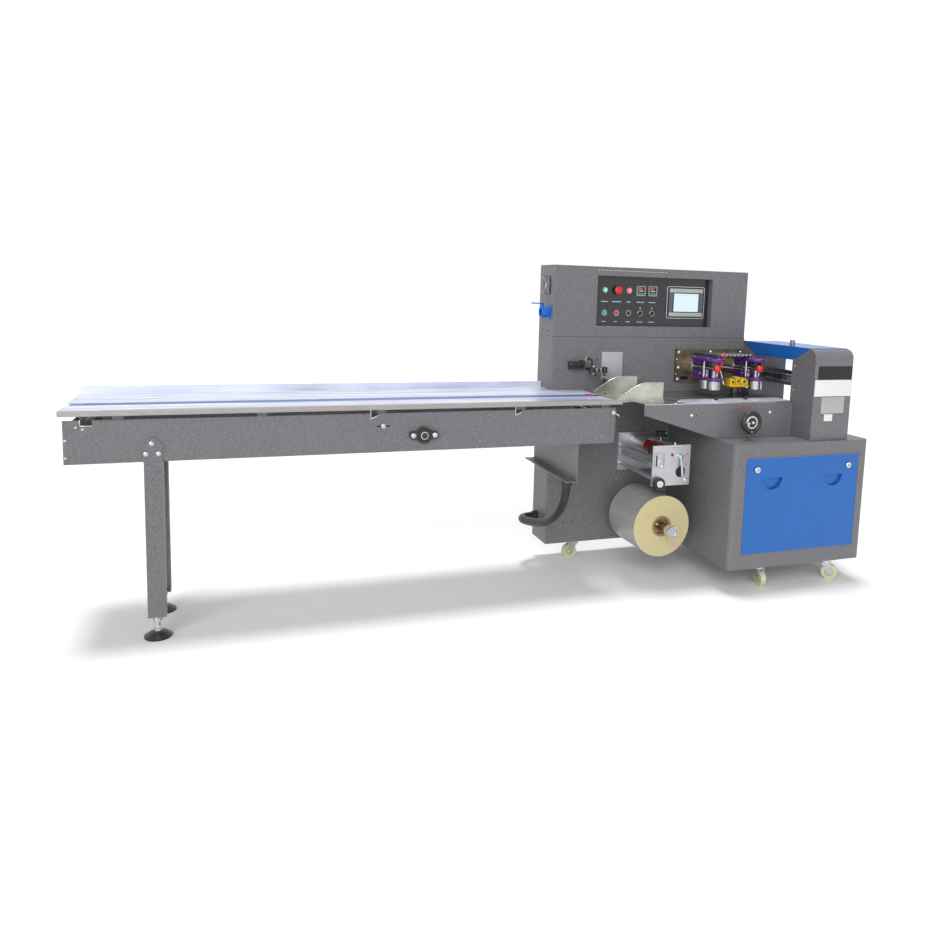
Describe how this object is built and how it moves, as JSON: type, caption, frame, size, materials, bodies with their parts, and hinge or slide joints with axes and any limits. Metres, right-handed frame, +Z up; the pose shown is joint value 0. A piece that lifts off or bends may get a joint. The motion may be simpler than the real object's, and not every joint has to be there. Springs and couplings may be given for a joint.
{
  "type": "horizontal flow wrapper",
  "caption": "Horizontal flow wrapper with a long infeed table, forming box, fin seal, rotary end seal, film reel and draw unit, control cabinet and castors.",
  "frame": {"origin": "on the floor, below the middle of the machine's bounding box", "axes": "+X along the product flow from infeed to end seal, +Y from the operator's side to the back, +Z up"},
  "size_m": [3.378, 0.745, 1.45],
  "materials": {
    "hammer_grey": "satin",
    "panel_black": "matte",
    "button_plastic": "gloss",
    "screen": "gloss",
    "black_plastic": "matte",
    "inlet_blue": "gloss",
    "blue_paint": "satin",
    "stainless": "satin",
    "steel": "satin",
    "purple_anodised": "satin",
    "dark_bronze": "satin",
    "brass": "satin",
    "aluminium": "satin",
    "red_rubber": "matte",
    "film_white": "satin",
    "black_rubber": "matte",
    "zinc": "satin",
    "nylon_cream": "satin"
  },
  "bodies": {
    "root": {"cabinet_head": "hammer_grey", "castor_plates": "zinc", "conduit_hose": "black_rubber", "control_buttons": "button_plastic", "control_panel": "panel_black", "door_panel": "blue_paint", "fan_guard": "black_plastic", "film_unit": "aluminium", "fin_guides": "brass", "fin_mount": "dark_bronze", "fin_unit_infeed": "purple_anodised", "fin_unit_outfeed": "purple_anodised", "forming_box": "stainless", "hose_glands": "black_plastic", "infeed_bracket": "hammer_grey", "infeed_chain": "steel", "infeed_crossmembers": "hammer_grey", "infeed_drive_shaft": "black_plastic", "infeed_end_plate": "hammer_grey", "infeed_legs": "hammer_grey", "infeed_rail": "aluminium", "infeed_side_front": "hammer_grey", "infeed_side_rear": "hammer_grey", "infeed_sprockets": "steel", "infeed_table": "stainless", "infeed_upstand": "stainless", "levelling_feet": "black_rubber", "lower_cabinet": "hammer_grey", "main_cabinet": "hammer_grey", "power_inlet": "inlet_blue", "reel_flange": "steel", "seal_cover": "blue_paint", "seal_housing": "hammer_grey", "sensor_arm": "black_plastic", "table_cover": "stainless", "touch_screen": "screen", "work_table": "stainless"},
    "reel": {"film_roll": "film_white", "reel_shaft": "brass"},
    "handwheel": {"handwheel": "black_plastic"},
    "draw_roller": {"draw_roller": "red_rubber"},
    "film_lever": {"film_lever": "zinc"},
    "crimp_upper": {"crimp_shaft_upper": "steel"},
    "crimp_lower": {"crimp_shaft_lower": "steel"},
    "inlet_lid": {"inlet_lid": "inlet_blue"},
    "fin_wheel_infeed_rear": {"fin_wheel_infeed_rear": "steel"},
    "fin_wheel_infeed_front": {"fin_wheel_infeed_front": "steel"},
    "fin_wheel_outfeed_rear": {"fin_wheel_outfeed_rear": "steel"},
    "fin_wheel_outfeed_front": {"fin_wheel_outfeed_front": "steel"},
    "castor_fork_main_left": {"castor_fork_main_left": "zinc"},
    "castor_wheel_main_left": {"castor_wheel_main_left": "nylon_cream"},
    "castor_fork_main_right": {"castor_fork_main_right": "zinc"},
    "castor_wheel_main_right": {"castor_wheel_main_right": "nylon_cream"},
    "castor_fork_front_left": {"castor_fork_front_left": "zinc"},
    "castor_wheel_front_left": {"castor_wheel_front_left": "nylon_cream"},
    "castor_fork_front_right": {"castor_fork_front_right": "zinc"},
    "castor_wheel_front_right": {"castor_wheel_front_right": "nylon_cream"}
  },
  "joints": [
    {"name": "film_reel_spin", "type": "hinge", "parent": "root", "child": "reel", "pos_m": [0.745, -0.0045, 0.265], "axis": [0, 1, 0], "continuous": true},
    {"name": "handwheel_turn", "type": "hinge", "parent": "root", "child": "handwheel", "pos_m": [1.097, -0.2545, 0.766], "axis": [0, 1, 0], "continuous": true},
    {"name": "draw_roller_spin", "type": "hinge", "parent": "root", "child": "draw_roller", "pos_m": [0.767, -0.0045, 0.605], "axis": [0, 1, 0], "continuous": true},
    {"name": "film_lever_swing", "type": "hinge", "parent": "root", "child": "film_lever", "pos_m": [0.806, -0.1545, 0.596], "axis": [0, 1, 0], "range_deg": [-75, 0]},
    {"name": "crimp_upper_spin", "type": "hinge", "parent": "root", "child": "crimp_upper", "pos_m": [1.4725, -0.0245, 0.94], "axis": [0, 1, 0], "continuous": true},
    {"name": "crimp_lower_spin", "type": "hinge", "parent": "root", "child": "crimp_lower", "pos_m": [1.4725, -0.0245, 0.79], "axis": [0, 1, 0], "continuous": true},
    {"name": "inlet_lid_swing", "type": "hinge", "parent": "root", "child": "inlet_lid", "pos_m": [0.267, 0.2575, 1.26], "axis": [0, 1, 0], "range_deg": [-90, 0]},
    {"name": "fin_wheel_infeed_rear_spin", "type": "hinge", "parent": "root", "child": "fin_wheel_infeed_rear", "pos_m": [1.041, 0.027, 0.9], "axis": [0, 0, 1], "continuous": true},
    {"name": "fin_wheel_infeed_front_spin", "type": "hinge", "parent": "root", "child": "fin_wheel_infeed_front", "pos_m": [1.041, -0.036, 0.9], "axis": [0, 0, 1], "continuous": true},
    {"name": "fin_wheel_outfeed_rear_spin", "type": "hinge", "parent": "root", "child": "fin_wheel_outfeed_rear", "pos_m": [1.278, 0.027, 0.9], "axis": [0, 0, 1], "continuous": true},
    {"name": "fin_wheel_outfeed_front_spin", "type": "hinge", "parent": "root", "child": "fin_wheel_outfeed_front", "pos_m": [1.278, -0.036, 0.9], "axis": [0, 0, 1], "continuous": true},
    {"name": "castor_main_left_swivel", "type": "hinge", "parent": "root", "child": "castor_fork_main_left", "pos_m": [0.491, 0.2885, 0.1], "axis": [0, 0, 1], "continuous": true},
    {"name": "castor_main_left_roll", "type": "hinge", "parent": "castor_fork_main_left", "child": "castor_wheel_main_left", "pos_m": [0.469, 0.2885, 0.036], "axis": [0, 1, 0], "continuous": true},
    {"name": "castor_main_right_swivel", "type": "hinge", "parent": "root", "child": "castor_fork_main_right", "pos_m": [1.206, 0.2885, 0.1], "axis": [0, 0, 1], "continuous": true},
    {"name": "castor_main_right_roll", "type": "hinge", "parent": "castor_fork_main_right", "child": "castor_wheel_main_right", "pos_m": [1.184, 0.2885, 0.036], "axis": [0, 1, 0], "continuous": true},
    {"name": "castor_front_left_swivel", "type": "hinge", "parent": "root", "child": "castor_fork_front_left", "pos_m": [1.185, -0.2785, 0.1], "axis": [0, 0, 1], "continuous": true},
    {"name": "castor_front_left_roll", "type": "hinge", "parent": "castor_fork_front_left", "child": "castor_wheel_front_left", "pos_m": [1.18118, -0.30017, 0.036], "axis": [-0.9848, 0.1736, 0], "continuous": true},
    {"name": "castor_front_right_swivel", "type": "hinge", "parent": "root", "child": "castor_fork_front_right", "pos_m": [1.551, -0.2965, 0.1], "axis": [0, 0, 1], "continuous": true},
    {"name": "castor_front_right_roll", "type": "hinge", "parent": "castor_fork_front_right", "child": "castor_wheel_front_right", "pos_m": [1.56735, -0.31122, 0.036], "axis": [-0.6691, -0.7431, 0], "continuous": true}
  ],
  "couplings": [
    {"joint": "crimp_lower_spin", "follows": "crimp_upper_spin", "ratio": -1},
    {"joint": "fin_wheel_infeed_front_spin", "follows": "fin_wheel_infeed_rear_spin", "ratio": -1},
    {"joint": "fin_wheel_outfeed_rear_spin", "follows": "fin_wheel_infeed_rear_spin", "ratio": 1},
    {"joint": "fin_wheel_outfeed_front_spin", "follows": "fin_wheel_infeed_rear_spin", "ratio": -1}
  ]
}
